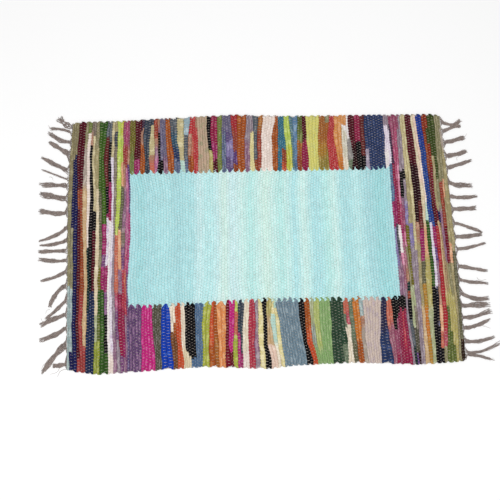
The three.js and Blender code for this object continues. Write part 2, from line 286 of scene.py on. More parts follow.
RIGHT_BAND = (
    (1, (315, 317.5, 318, 315, 320, 318, 322),
     ("mauve grey", 265, "white lilac", 175, "slate blue", 80, "magenta", 20, "lavender", -70,
      "mauve", -147, "black", -180, "rose red", -265, "crimson")),
    (1, (318, 323, 323, 320, 325, 324, 330),
     ("muted rose", 265, "dark purple", 175, "crimson", 120, "magenta", 20, "dark grey", -50,
      "mauve", -147, "black", -182, "crimson")),
    (1, (327, 329, 327.5, 327.5, 331, 329, 336),
     ("muted rose", 230, "rose", 130, "crimson", 20, "white", -45, "pink", -75, "rose mauve", -130,
      "mauve grey")),
    (1, (335.5, 334.5, 332.5, 332.5, 337.5, 337.5, 341),
     ("muted rose", 265, "rose", 175, "pink", 80, "rose", 20, "magenta", -20, "rose mauve", -75,
      "rose tan", -120, "black green", -142, "brick", -158, "black", -200, "iron grey", -265,
      "black green")),
    (1, (340, 340.5, 341, 337.5, 342, 344, 345),
     ("muted rose", 265, "mauve grey", 158, "black", 98, "mauve", 70, "muted rose", 10, "pink", -30,
      "olive khaki", -130, "sage", -225, "dark olive", -270, "purple")),
    (1, (344.5, 346.5, 347.5, 346, 346, 350, 349),
     ("mauve grey", 158, "black", 140, "mauve grey", 75, "lavender", 28, "olive", -125, "sage", -170,
      "grey brown", -230, "dark olive", -268, "maroon black")),
    (1, (350.5, 353, 356, 356, 353, 355, 354),
     ("straw khaki", 150, "khaki", 25, "lavender", -25, "mauve grey")),
    (1, (356.5, 359, 364, 362.5, 360, 360, 359), ("straw khaki", -40, "mauve grey")),
    (1, (364, 368, 372.5, 371, 367.5, 367.5, 369),
     ("dark maroon", 170, "maroon black", 20, "rose tan", -25, "khaki", -175, "tan")),
    (1, (371, 376.5, 381, 381, 376, 375, 377),
     ("dark maroon", 170, "maroon black", 75, "maroon brown", 8, "magenta", -63, "grey olive", -125,
      "ochre", -175, "orange", -255, "ochre")),
    (1, (377, 383, 390, 387, 390, 386, 385),
     ("cream beige", 175, "pink cream", 125, "cream beige", 20, "peach", -60, "yellow khaki", -175,
      "sage")),
    (1, (383, 389, 393, 396, 397.5, 393.5, 391),
     ("pink cream", 175, "pink white", 75, "pale aqua", 35, "bottle green", -130, "black")),
    (1, (390, 395.5, 398.5, 402.5, 404, 401, 397),
     ("indigo", 225, "blue", 20, "white lilac", -125, "flecked black")),
    (1, (397, 402, 404, 410, 409, 409, 403),
     ("indigo", 225, "blue", 20, "magenta", -25, "purple", -75, "mauve", -125, "rose tan", -175,
      "peach", -230, "salmon", -268, "black")),
    (1, (404, 409, 409, 417.5, 418, 419, 411),
     ("rust red", 250, "rust", 160, "maroon brown", 75, "dark maroon", 25, "red", -230, "rose brick",
      -268, "olive khaki")),
    (1, (411, 415.5, 414, 421, 422, 425, 418),
     ("rust red", 265, "dark moss", 225, "rust red", 165, "maroon red", 28, "tan", -152,
      "yellow khaki", -180, "olive green")),
    (1, (420, 422, 421, 424, 427.5, 430, 424.5),
     ("dark moss", 195, "khaki", 55, "navy", 31, "dotted tan", -140, "yellow khaki", -228,
      "olive green")),
    (1, (429, 428, 427.5, 430, 431, 435, 431),
     ("dark moss", 135, "olive khaki", 60, "mauve", -75, "khaki", -125, "yellow khaki", -262,
      "olive green")),
    (1, (434, 434.5, 436, 437.5, 437, 441, 437),
     ("olive khaki", 133, "brick", 20, "maroon red", -75, "olive khaki", -150, "yellow khaki")),
    (1, (439, 441.5, 439, 444, 444, 445.5, 443),
     ("olive khaki", 130, "peach", 85, "khaki", -20, "peach", -70, "khaki", -200, "olive khaki")),
    (1, (444, 448.5, 450, 451, 450, 450, 449),
     ("olive khaki", 265, "greige", 210, "khaki", -37, "grey olive", -255, "dark umber")),
)

FAR_LEVELS = (290, 250, 200, 165)
FAR_BORDER = (
    (3, (-297, -297, -300, -301), ("olive", 215, "moss")),
    (2, (-281, -284.5, -285.5, -287), ("dark maroon", 195, "magenta")),
    (2, (-275.5, -279, -274.5, -274.5), ("dark purple", 272, "rose tan", 235, "rust orange")),
    (2, (-259, -263, -265.5, -263), ("dark slate",)),
    (1, (-253, -252, -251, -252), ("dark slate", 285, "straw khaki", 205, "rose tan", 180, "salmon")),
    (1, (-244, -243, -242, -245.5), ("brick", 255, "rose tan", 225, "mauve", 190, "pink mauve")),
    (1, (-239, -238, -238, -238), ("rose tan", 270, "mauve", 262, "black")),
    (1, (-234, -231, -230, -231), ("dusk lilac", 190, "black")),
    (2, (-225.5, -224.5, -222, -218), ("dusk lilac", 200, "mauve")),
    (2, (-215, -212, -205.5, -204.5), ("rust orange",)),
    (2, (-198, -198, -192, -189), ("iron grey", 265, "dark teal", 225, "slate navy", 190, "dusk blue")),
    (1, (-181, -182, -181, -178), ("straw khaki", 190, "pale aqua")),
    (1, (-166.5, -172, -172, -172), ("pale blue", 262, "iron grey", 190, "dusk blue")),
    (1, (-159, -162, -165, -165), ("bright red", 258, "rose tan", 200, "rust")),
    (1, (-154, -157, -159, -159), ("bright red", 240, "salmon", 205, "rust orange")),
    (2, (-150, -148, -148, -148), ("rose tan", 275, "bright red")),
    (4, (-126, -125.5, -121, -122), ("mottled tan",)),
    (1, (-117, -118, -112, -113), ("black", 222, "yellow khaki")),
    (2, (-101, -101, -102, -101), ("crimson", 235, "magenta", 190, "dark maroon")),
    (1, (-89, -91, -91, -91), ("moss",)),
    (2, (-82, -81, -81, -81), ("dusk lilac", 262, "dusk blue")),
    (2, (-68, -64.5, -63, -64.5), ("dusk lilac", 270, "slate purple", 240, "lavender", 195, "slate purple")),
    (2, (-53, -53, -55.5, -52), ("red", 265, "brick", 215, "purple", 185, "rust")),
    (2, (-30, -35.5, -36.5, -36.5), ("rust orange",)),
    (2, (-22, -22, -24.5, -24.5), ("mauve grey", 240, "mauve")),
    (2, (-14.5, -13.5, -14.5, -12), ("mauve grey", 266, "pale yellow")),
    (1, (-2, -5.5, -6.5, -5.5), ("iron grey", 182, "rust")),
    (1, (10, 3.5, 4.5, 1), ("rust brown", 266, "brick")),
    (4, (39, 30, 30, 30), ("pink white",)),
    (2, (46.5, 44.5, 43.5, 41), ("rust orange",)),
    (2, (53, 53, 53, 52), ("teal",)),
    (2, (60, 61, 64.5, 62), ("teal", 215, "rust", 190, "orange red")),
    (2, (73, 76.5, 78, 78), ("lime", 225, "yellow lime")),
    (1, (82, 82, 82, 84), ("teal grey",)),
    (1, (94.5, 91, 90, 89), ("steel blue", 190, "slate blue")),
    (2, (105.5, 104.5, 101, 101), ("olive green", 262, "moss", 235, "rust brown", 200, "rust")),
    (2, (114.5, 113.5, 116.5, 116.5), ("dark maroon", 240, "crimson")),
    (4, (146.5, 142, 141, 141), ("lime yellow",)),
    (3, (160, 161, 160, 160), ("rust brown", 235, "ochre", 195, "ochre olive")),
    (1, (172, 164, 165, 166), ("olive khaki", 282, "rust brown", 215, "ochre olive")),
    (4, (183, 180, 185.5, 189), ("bright red",)),
    (2, (200, 200, 199, 200), ("light orange", 200, "orange")),
    (2, (212, 212, 212, 213), ("light orange", 276, "white", 262, "stone white", 195, "cream")),
    (1, (216.5, 218, 225.5, 221), ("white", 240, "grey", 190, "grey green")),
    (2, (232, 231, 234.5, 234.5), ("dark maroon", 225, "maroon black")),
    (2, (245.5, 245.5, 244.5, 245), ("crimson", 235, "black")),
    (1, (256.5, 255.5, 255.5, 254.5), ("maroon brown", 197, "black")),
    (1, (264, 264, 264.5, 264.5), ("slate navy", 215, "grey lilac")),
    (6, (303, 304, 302, 302), ("slate navy",)),
    (2, (314, 314, 312, 311), ("mauve grey", 275, "white lilac", 210, "white")),
)

NEAR_LEVELS = (-160, -200, -250, -290)
NEAR_BORDER = (
    (4, (-281, -282.5, -281, -281), ("mottled purple",)),
    (4, (-257.5, -257.5, -252.5, -250), ("hot pink",)),
    (4, (-236, -237.5, -237.5, -236), ("dark olive",)),
    (2, (-219, -216, -215, -209), ("royal blue",)),
    (1, (-212.5, -210, -206.5, -204.5), ("cream", -215, "brown")),
    (1, (-206, -204.5, -200.5, -200), ("cream", -200, "rust orange", -230, "brown")),
    (2, (-194, -192.5, -191, -186), ("orange red",)),
    (2, (-184, -183, -182.5, -178), ("cream", -262, "cream beige")),
    (1, (-178, -177.5, -177, -173.5), ("black", -262, "cream beige")),
    (1, (-172, -172, -171, -169), ("black", -274, "cream beige")),
    (1, (-166, -166, -165, -163.5), ("black", -282, "slate blue")),
    (1, (-160.5, -160.5, -159, -158), ("black", -276, "slate blue")),
    (4, (-141, -145, -144, -144), ("slate blue",)),
    (2, (-122.5, -127.5, -130, -129), ("yellow green",)),
    (1, (-117, -119, -117.5, -115), ("orange red", -250, "rust orange")),
    (1, (-112, -111, -108, -107.5), ("rust orange", -230, "rust brown")),
    (2, (-90, -90, -92.5, -92.5), ("orange peach",)),
    (1, (-82.5, -84, -85, -79), ("maroon red",)),
    (2, (-70, -71, -76, -75), ("hot pink", -268, "maroon red")),
    (1, (-62, -64, -65, -65), ("lime", -172, "salmon", -225, "yellow green")),
    (1, (-55, -58, -57.5, -59), ("dark slate", -225, "bright magenta")),
    (1, (-48, -52.5, -54, -54), ("dark slate", -268, "magenta")),
    (2, (-36, -39, -41, -39), ("cream", -265, "pink white")),
    (2, (-25, -22.5, -27.5, -26), ("rose red",)),
    (1, (-16, -17.5, -17.5, -15), ("mauve grey", -225, "mauve", -270, "mauve grey")),
    (1, (-7.5, -5, -6, -2.5), ("pale yellow",)),
    (2, (2.5, 2.5, 2.5, 10), ("black",)),
    (2, (14, 11, 17.5, 25), ("yellow khaki", -185, "tan", -250, "pink cream")),
    (1, (19, 22.5, 26, 32), ("pale yellow", -180, "pale aqua", -255, "cream")),
    (1, (24, 31, 35, 40), ("pale aqua", -175, "pale yellow")),
    (8, (76, 77.5, 85, 90), ("slate",)),
    (2, (89, 90, 92.5, 104), ("black",)),
    (2, (101, 102.5, 105, 115), ("rust orange", -225, "orange red")),
    (2, (111, 110, 115, 121), ("sage", -210, "green grey", -262, "light green")),
    (2, (124, 123, 126, 131), ("leaf green", -262, "light green")),
    (4, (149, 150, 149, 150), ("light green",)),
    (3, (171, 172, 171, 175), ("dark green",)),
    (1, (178, 179, 185, 184), ("dark green", -265, "grey green")),
    (1, (185, 184, 189, 190), ("salmon", -185, "grey green", -220, "cream")),
    (1, (191, 193, 195, 197.5), ("salmon", -180, "rose brick", -215, "cream")),
    (1, (200, 202.5, 205, 207.5), ("grey green", -240, "grey olive")),
    (2, (215, 217.5, 217.5, 221), ("orange", -250, "rust orange")),
    (1, (224, 226, 226, 229), ("grey blue", -185, "rose tan", -215, "greige")),
    (6, (267.5, 264, 259, 260), ("pink beige",)),
    (2, (279, 277.5, 281, 287.5), ("purple navy", -230, "slate navy")),
    (2, (290.5, 292.5, 294, 295), ("salmon", -215, "rose mauve")),
    (1, (300, 300, 302, 303), ("black", -220, "muted rose", -275, "crimson")),
    (1, (304.5, 304.5, 305.5, 306.5), ("black", -198, "muted rose")),
    (2, (313, 313, 313, 314), ("black", -184, "crimson")),
)

# The panel's dye lots from its left side: how many picks, and which.
PANEL_LOTS = (
    (3, "grey aqua"), (2, "deep aqua"), (4, "grey aqua"), (6, "aqua"), (4, "grey aqua"), (5, "aqua"),
    (2, "lilac mist"), (5, "light aqua"), (2, "lilac mist"), (2, "straw mint"), (4, "lilac mist"),
    (3, "pale mint"), (3, "mint"), (3, "pale mint"), (2, "straw mint"), (3, "pale mint"), (3, "mint"),
    (2, "pale mint"), (3, "sky aqua"), (4, "pale mint"), (5, "sky aqua"), (3, "mint"),
    (3, "pale mint"), (5, "aqua"), (4, "light aqua"), (4, "grey aqua"), (5, "deep aqua"),
    (2, "grey aqua"),
)

# The fringe's locks, far to near: where a lock leaves the cloth, a point that it bends through and
# its tip, each with how far out from the nominal end it lies, then how broad it is there and there.
LEFT_LOCKS = (
    (280, 16, 291, 31, 306, 15, 12), (267, 24, 277, 51, 278, 5, 6), (246, 23, 248, 53, 268, 7, 10),
    (211, 25, 227, 51, 244, 10, 7), (171, 30, 184, 65, 205, 9, 8), (149, 26, 158, 64, 174, 3, 2),
    (136, 32, 136, 69, 137, 9, 10), (103, 32, 106, 67, 115, 10, 12), (67, 33, 67, 68, 73, 8, 10),
    (37, 24, 17, 64, 0.5, 8, 5), (5, 25, -6, 62, -10, 8, 5), (-24, 32, -24, 66, -26, 6, 8),
    (-44, 26, -48, 64, -43, 6, 8), (-71, 26, -84, 58, -94, 7, 5), (-103, 24, -123, 38, -152, 8, 7),
    (-137, 21, -159, 45, -181, 7, 5), (-171, 25, -181, 56, -195, 8, 9),
    (-198, 22, -217, 56, -229, 7, 10), (-238, 22, -263, 49, -301, 12, 8),
    (-285, 14, -287, 27, -288, 8, 7),
)
RIGHT_LOCKS = (
    (284, 22, 275, 43, 271, 6, 7), (257, 22, 269, 44, 287, 7, 9), (229, 26, 235, 50, 242, 8, 9),
    (194, 26, 198, 51, 206, 9, 8), (162, 26, 171, 60, 182, 8, 7), (130, 18, 121, 54, 119, 7, 12),
    (97, 18, 89, 62, 90, 7, 7), (61, 28, 60, 60, 62, 8, 9), (27, 30, 18, 67, 3, 6, 5),
    (-9, 26, -8, 65, -5, 8, 8), (-38, 30, -36, 71, -26, 8, 4), (-78, 30, -84, 69, -92, 8, 5),
    (-110, 26, -117, 67, -121, 6, 6), (-138, 28, -155, 66, -158, 7, 9),
    (-173, 26, -173, 67, -171, 6, 13), (-199, 26, -200, 68, -188, 6, 9),
    (-223, 28, -222, 64, -207, 8, 6), (-254, 28, -257, 69, -249, 8, 6),
    (-277, 32, -281, 84, -262, 6, 6), (-287, 28, -289, 64, -300, 5, 5),
)
NOMINAL_END = 450


def channels(hex_colour):
    """The three channels of an sRGB hex colour, from 0 to 1."""
    return [int(hex_colour[i:i + 2], 16) / 255 for i in (1, 3, 5)]


def to_linear(hex_colour):
    """An sRGB hex colour as linear red, green and blue."""
    return tuple(c / 12.92 if c <= 0.04045 else ((c + 0.055) / 1.055) ** 2.4
                 for c in channels(hex_colour))


def reading(table, place):
    """A table of (place, value) rows, read at a place, with straight lines between its rows."""
    places, values = zip(*table)
    return np.interp(place, places, values)


def smooth(share):
    """An even start and end between 0 and 1."""
    held = np.clip(share, 0, 1)
    return held * held * (3 - 2 * held)


# Where the picks and warps lie

def warp_line(warp, x):
    """How far along the short way warp number warp lies, at x."""
    near, far = reading(NEAR_SELVEDGE, x), reading(FAR_SELVEDGE, x)
    return near + (far - near) * (warp + 0.5) / WARPS


def warp_at(x, y):
    """The warp number that lies at x, y, as a fraction."""
    near, far = reading(NEAR_SELVEDGE, x), reading(FAR_SELVEDGE, x)
    return (y - near) / (far - near) * WARPS - 0.5


def picks_of(chart, first, levels, first_side, last_side=None):
    """The picks of a chart: each one's left and right side at the levels, and its cloths."""
    left, picks = np.array(first_side, float), []
    for row, (count, sides, cloths) in enumerate(chart):
        right = np.array(sides, float)
        if last_side is not None and row == len(chart) - 1:
            right = np.array(last_side, float)
        for k in range(count):
            sides_k = [left + (right - left) * (k + step) / count for step in (0, 1)]
            picks.append({"number": first + len(picks), "sides": sides_k, "levels": levels,
                          "cloths": cloths})
        left = right
    return picks


# A hand-laid rag wanders a little, and its neighbour gives way to it.
wander_waves = np.random.default_rng(611).uniform(0, 1, (PICKS + 1, 3, 2))


def wander(side_number, y):
    """How far the line between two picks strays at y."""
    stray = 0.0
    for wave, (pace, start) in enumerate(wander_waves[side_number]):
        length = WANDER_LENGTHS[wave] * (0.8 + 0.4 * pace)
        stray = stray + np.sin(2 * math.pi * (y / length + start))
    return stray * WANDER


def sides_at(pick, y):
    """A pick's left and right side at y."""
    falling = -np.array(pick["levels"], float)
    return [np.interp(-y, falling, side) + wander(pick["number"] + step, y)
            for step, side in enumerate(pick["sides"])]


left_end = [reading(LEFT_END, y) for y in BAND_LEVELS]
right_end = [reading(RIGHT_END, y) for y in BAND_LEVELS]
left_band = picks_of(LEFT_BAND, 0, BAND_LEVELS, left_end)
band_last_pick = left_band[-1]


def panel_left_side(levels):
    """Where the left band ends and the border and the panel start, at the levels."""
    falling = -np.array(BAND_LEVELS, float)
    return [float(np.interp(-y, falling, band_last_pick["sides"][1])) for y in levels]


def panel_right_side(levels):
    """Where the panel and the border end and the right band starts, at the levels."""
    return [float(reading(PANEL_RIGHT, y)) for y in levels]


right_band = picks_of(RIGHT_BAND, LAST_INNER + 1, BAND_LEVELS, panel_right_side(BAND_LEVELS),
                      right_end)
far_border = picks_of(FAR_BORDER, FIRST_INNER, FAR_LEVELS, panel_left_side(FAR_LEVELS),
                      panel_right_side(FAR_LEVELS))
near_border = picks_of(NEAR_BORDER, FIRST_INNER, NEAR_LEVELS, panel_left_side(NEAR_LEVELS),
                       panel_right_side(NEAR_LEVELS))

# The panel's picks run straight on from the borders' and are evenly spaced between them.
PANEL_LEVELS = (165, 110, 0, -100, -155)
lots = [lot for count, lot in PANEL_LOTS for _ in range(count)]
inner = LAST_INNER - FIRST_INNER + 1
panel = []
panel_sides = list(zip(panel_left_side(PANEL_LEVELS[1:4]), panel_right_side(PANEL_LEVELS[1:4])))
for k in range(inner):
    even = [[a + (b - a) * (k + step) / inner for a, b in panel_sides] for step in (0, 1)]
    sides = [np.array([far_border[k]["sides"][s][-1], *even[s], near_border[k]["sides"][s][0]])
             for s in (0, 1)]
    beside = [lots[min(max(j, 0), inner - 1)] for j in (k - 1, k, k + 1)]
    panel.append({"number": FIRST_INNER + k, "sides": sides, "levels": PANEL_LEVELS,
                  "cloths": (lots[k],), "shades": beside})


# Laying one long rag back and forth

# The six points round a flattened rag: how far across, and whether above or below. Each face
# of the rag follows the point of its own number.
RAG_OUTLINE = ((-RAG_SHOULDER, -1), (RAG_SHOULDER, -1), (1, 0), (RAG_SHOULDER, 1), (-RAG_SHOULDER, 1),
               (-1, 0))
NEXT_POINT = RAG_OUTLINE[1:] + RAG_OUTLINE[:1]
FACE_ACROSS = np.array([(a[0] + b[0]) / 2 for a, b in zip(RAG_OUTLINE, NEXT_POINT)])


def rag_dye(name):
    """A rag's face dye, back dye and share of back, in one row."""
    face, back, share = RAGS[name]
    return np.array([*to_linear(face), *to_linear(back), share])


def are_close(name, other):
    """Whether two rags' dyes are so close that they fade together."""
    pairs = zip(channels(RAGS[name][0]), channels(RAGS[other][0]))
    return sum(abs(a - b) for a, b in pairs) < CLOSE_DYES


def dyes_along(pick, y, side, end_strays):
    """The dyes on each of a rag's faces at each y. A rag is cut on a slant, so where one gives way
    to another they lie side by side for a little, and rags of close dyes fade together."""
    names, ends = pick["cloths"][0::2], pick["cloths"][1::2]
    slant = RAG_END_SLANT * (1 if pick["number"] % 3 else -1)
    place = np.atleast_1d(y)[:, None] + slant * side * FACE_ACROSS[None, :]
    first = np.mean([rag_dye(name) for name in pick.get("shades", names[:1])], 0)
    dyes = np.broadcast_to(first, (*place.shape, len(first))).copy()
    for before, after, end, stray in zip(names, names[1:], ends, end_strays):
        length = FADE_LENGTH if are_close(before, after) else CUT_LENGTH
        past = smooth((end + stray - place) / length + 0.5)[:, :, None]
        dyes += (rag_dye(after) - dyes) * past
    return dyes


def turn_place(pick_a, pick_b, join, way, is_panel):
    """Where two picks share a turn: the warp that they go round, and the x between them."""
    if join is None:
        y = 300.0 * way
        warp = 0 if way < 0 else WARPS - 1
    else:
        y = float(reading(join, pick_a["sides"][1][0]))
        middle = float(sides_at(pick_a, y)[1])
        warp = int(round(float(warp_at(middle, y))))
        if is_panel and way < 0 and min(abs(middle - x) for x in ROUND_TEETH) < ROUND_TOOTH_REACH:
            warp += 1
    return warp, float((sides_at(pick_a, y)[1] + sides_at(pick_b, y)[0]) / 2)


def turns_of(picks, k, joins, is_panel):
    """A pick's turns, towards the near side and away from it. Each has the warp that it goes round, the
    x between its two lengths, whether another pick shares it, and its join or None."""
    pick = picks[k]
    away = pick["number"] % 2 == 1
    turns = {}
    for way, join in joins.items():
        other = k + 1 if (way > 0) == away else k - 1
        partner = picks[other] if 0 <= other < len(picks) else pick
        pair = (pick, partner) if other > k else (partner, pick)
        warp, middle = turn_place(*pair, join, way, is_panel)
        turns[way] = {"warp": warp, "middle": middle, "shared": partner is not pick, "join": join,
                      "shape": JOIN_TURN if join else SELVEDGE_TURN}
    return turns


def straight_rings(pick, turns, join_lift, is_panel):
    """A rag's rings from its near turn to its far one, two to a warp, and how each one is lifted.
    Each turn is given the gap between its two lengths."""
    weft_rows = np.arange(turns[-1]["warp"], turns[1]["warp"] + 0.25, 0.5)
    y = warp_line(weft_rows, float(np.mean(pick["sides"])))
    left, right = sides_at(pick, y)
    centre, width = (left + right) / 2, right - left
    y = warp_line(weft_rows, centre)
    lift = np.cos(np.pi * (pick["number"] + weft_rows))
    half = width / 2 * (PINCH_SPREAD + (HUMP_SPREAD - PINCH_SPREAD) * (lift + 1) / 2)
    half = half * (1 + UNEVEN_WIDTH * rng.standard_normal(len(y)))
    centre = centre + UNEVEN_MIDDLE * rng.standard_normal(len(y))
    z = MID_HEIGHT + CRIMP * lift
    rise = RAG_THICKNESS / 2 + RAG_SWELL * lift + UNEVEN_RISE * rng.standard_normal(len(y))
    drop = RAG_THICKNESS / 2 - RAG_SWELL * lift
    for way, turn in turns.items():
        end = 0 if way < 0 else -1
        shape, gap = turn["shape"], turn["shape"]["gap"]
        if not turn["join"]:
            gap = min(gap, float(width[end]) * SELVEDGE_GAP_SHARE)
        distance = np.abs(y - y[end])
        near_turn = 1 - smooth(distance / shape["reach"])
        if turn["shared"]:
            wanted = turn["middle"] + math.copysign(gap, float(centre[0] - turn["middle"]))
            centre = centre + (wanted - centre) * near_turn
            half = half + (gap * TURN_FILL - half) * near_turn
        if turn["join"]:
            reach = SINK_REACH if is_panel else shape["reach"]
            z = z + join_lift * (1 - smooth(distance / reach))
        turn["gap"] = gap
    side = np.full(len(y), 1 if pick["number"] % 2 else -1)
    number = np.full(len(y), pick["number"])
    return np.column_stack((centre, y, z, side, np.zeros(len(y)), half, rise, drop, number)), lift


def turn_rings(number, turn, way, y_end, lift_end, join_lift):
    """A rag's rings on its way round a turn, from pick number to the next."""
    shape, gap = turn["shape"], turn["gap"]
    depth = gap * shape["depth"]
    rows = []
    for step in range(1, TURN_STEPS):
        angle = math.pi * step / TURN_STEPS
        x = turn["middle"] - gap * math.cos(angle)
        y = y_end + way * (TURN_START + depth * math.sin(angle))
        z = MID_HEIGHT + CRIMP * lift_end * math.cos(angle) + (join_lift if turn["join"] else 0)
        half = gap * (TURN_FILL - shape["squeeze"] * math.sin(angle))
        rows.append((x, y, z, way * math.cos(angle), -math.sin(angle), half, TURN_HALF_THICKNESS,
                     TURN_HALF_THICKNESS, number + (step == TURN_STEPS - 1)))
    return np.array(rows)


def lay_weft(picks, near_join, far_join):
    """Lays one rag back and forth through picks: even ones towards the near side, odd ones away.
    A join is the line of teeth that the rag turns back on, or None at a selvedge. Each row of the
    table is a ring: centre x, y, z, sideways direction x, y, half width, rise above and drop below
    the centre, and pick number. The dyes are those of each face up to the ring."""
    is_panel = bool(near_join and far_join)
    join_lift = -TURN_LIFT if is_panel else TURN_LIFT
    rows, dyes = [], []
    joins = {-1: near_join, 1: far_join}
    strays = [RAG_END_STRAY * rng.standard_normal(len(pick["cloths"]) // 2) for pick in picks]
    for k, pick in enumerate(picks):
        way, end = (1, -1) if pick["number"] % 2 else (-1, 0)
        turns = turns_of(picks, k, joins, is_panel)
        table, lift = straight_rings(pick, turns, join_lift, is_panel)
        y = table[:, 1]
        dye = dyes_along(pick, y, way, strays[k])
        rows.append(table[::way])
        dyes.append(dye[::way])
        if k < len(picks) - 1:
            next_dye = dyes_along(picks[k + 1], y[end], -way, strays[k + 1])
            rows.append(turn_rings(pick["number"], turns[way], way, y[end], lift[end], join_lift))
            dyes += [dye[[end]]] * (TURN_STEPS - 2) + [next_dye]
    return np.vstack(rows), np.concatenate(dyes)


def rag_rings(table):
    """The six points of each ring of a rag, which lies flattened in the weave."""
    x, y, z, side_x, side_y, half, rise, drop = table[:, :8].T
    rings = []
    for across, up in RAG_OUTLINE:
        height = np.where(up > 0, rise, drop) * up
        out_x, out_y = side_x * half * across, side_y * half * across
        rings.append(np.column_stack((x + out_x, y + out_y, z + height)))
    rings = np.stack(rings, 1)
    rings += UNEVEN_SKIN * rng.standard_normal(rings.shape)
    rings[:, :, 2] = np.maximum(rings[:, :, 2], 0.0)
    return rings


# A face's four corners: how many rings and how many sides on from its first.
CORNERS = ((0, 0), (0, 1), (1, 1), (1, 0))
BAKE_MARGIN = 0.03


def strand_maps(rings, cells, first_cell, cells_across, cell_rows, girth):
    """A strand's corners on the two maps, and how many cells of the bake map it fills."""
    count, sides = rings.shape[:2]
    steps = np.linalg.norm(np.diff(rings.mean(1), axis=0), axis=1)
    along = np.concatenate(([0], np.cumsum(steps)))
    cell = np.searchsorted(np.unique(cells), cells)[1:]
    cell_count = int(cell.max()) + 1
    first_of = np.array([along[:-1][cell == c].min() for c in range(cell_count)])
    last_of = np.array([along[1:][cell == c].max() for c in range(cell_count)])
    place = first_cell + cell
    column, row = place % cells_across, place // cells_across
    round_it = [(np.arange(sides) + step) / sides for step in (0, 1)]
    bake_u, bake_v, strand_u, strand_v = [], [], [], []
    for reached, turned in zip((along[:-1], along[1:]), round_it):
        share = (reached - first_of[cell]) / (last_of - first_of)[cell]
        across = (column + BAKE_MARGIN + share * (1 - 2 * BAKE_MARGIN)) / cells_across
        down = row[:, None] + BAKE_MARGIN * 2 + turned[None, :] * (1 - 4 * BAKE_MARGIN)
        bake_u.append(np.broadcast_to(across[:, None], (count - 1, sides)))
        bake_v.append(down / cell_rows)
        strand_u.append(np.broadcast_to(turned[None, :], (count - 1, sides)) * girth * MM)
        strand_v.append(np.broadcast_to(reached[:, None], (count - 1, sides)) * MM)
    bake = np.stack([np.stack((bake_u[r], bake_v[s]), 2) for r, s in CORNERS], 2)
    strand = np.stack([np.stack((strand_u[s], strand_v[r]), 2) for r, s in CORNERS], 2)
    return bake.reshape(-1, 2), strand.reshape(-1, 2), cell_count


def mesh_piece(name, points, quads, caps, maps):
    """A smooth mesh of quads and end caps, with its maps, which are given for the quads alone."""
    cap_corners = caps.size
    corners = np.concatenate((quads.ravel(), caps.ravel()))
    starts = np.concatenate((np.arange(len(quads)) * 4,
                             quads.size + np.arange(len(caps)) * caps.shape[1]))
    mesh = bpy.data.meshes.new(name)
    mesh.vertices.add(len(points))
    mesh.vertices.foreach_set("co", (points * MM).astype(np.float32).ravel())
    mesh.loops.add(len(corners))
    mesh.loops.foreach_set("vertex_index", corners.astype(np.int32))
    mesh.polygons.add(len(starts))
    mesh.polygons.foreach_set("loop_start", starts.astype(np.int32))
    mesh.update(calc_edges=True)
    mesh.validate()
    for label, parts in maps.items():
        flat = np.vstack(parts)
        flat = np.vstack((flat, np.repeat(flat[:1], cap_corners, 0)))
        layer = mesh.uv_layers.new(name=label)
        layer.data.foreach_set("uv", flat.astype(np.float32).ravel())
    mesh.polygons.foreach_set("use_smooth", np.ones(len(mesh.polygons), bool))
    piece = bpy.data.objects.new(name, mesh)
    bpy.context.scene.collection.objects.link(piece)
    return piece


def tube_mesh(name, strands, cells_across, girth):
    """One mesh of many closed tubes. Each strand is (rings, cell of each stretch). The bake map gives
    every cell a strip of its own, and the strand map holds real sizes: round the strand, along it."""
    points, quads, caps = [], [], []
    maps = {"OFBake": [], "strand": []}
    start = first_cell = 0
    cell_rows = math.ceil(sum(len(np.unique(cells)) for _, cells in strands) / cells_across)
    for rings, cells in strands:
        count, sides = rings.shape[:2]
        side = np.arange(sides)
        ring_starts = start + np.arange(count - 1)[:, None] * sides
        a, b = ring_starts + side, ring_starts + (side + 1) % sides
        points.append(rings.reshape(-1, 3))
        quads.append(np.stack((a, b, b + sides, a + sides), 2).reshape(-1, 4))
        caps += [start + side[::-1], start + (count - 1) * sides + side]
        bake, strand, filled = strand_maps(rings, cells, first_cell, cells_across, cell_rows, girth)
        maps["OFBake"].append(bake)
        maps["strand"].append(strand)
        start += count * sides
        first_cell += filled
    return mesh_piece(name, np.vstack(points), np.vstack(quads), np.array(caps), maps)


def dye_rags(piece, dyes):
    """Writes the dyes on the faces: the rag's face, its back, and the share of back that shows."""
    per_face = dyes[1:].reshape(-1, dyes.shape[-1]).astype(np.float32)
    spare = len(piece.data.polygons) - len(per_face)
    per_face = np.vstack((per_face, np.repeat(per_face[-1:], spare, 0)))
    for label, first in (("dye", 0), ("back_dye", 3)):
        layer = piece.data.attributes.new(label, "FLOAT_VECTOR", "FACE")
        layer.data.foreach_set("vector", per_face[:, first:first + 3].ravel())
    layer = piece.data.attributes.new("back_share", "FLOAT", "FACE")
    layer.data.foreach_set("value", per_face[:, -1].copy())


# Materials

def add_node(material, kind, settings=None, **inputs):
    """Adds a node with its settings. An input is a value, or a socket that it is linked from."""
    node = material.node_tree.nodes.new(kind)
    for key, value in (settings or {}).items():
        setattr(node, key, value)
    for key, value in inputs.items():
        by_number = key[0] == "i" and key[1:].isdigit()
        socket = node.inputs[int(key[1:]) if by_number else key.replace("_", " ")]
        if isinstance(value, bpy.types.NodeSocket):
            material.node_tree.links.new(value, socket)
        else:
            socket.default_value = value
    return node


def per_metre(size_mm):
    """How many features of this size go into a metre, which is the strand map's unit."""
    return 1 / (size_mm * MM)


def bands_scale(ridge_mm):
    """The wave texture's scale for ridges this far apart: its own period is a twentieth of 2 pi."""
    return 2 * math.pi / 20 * per_metre(ridge_mm)


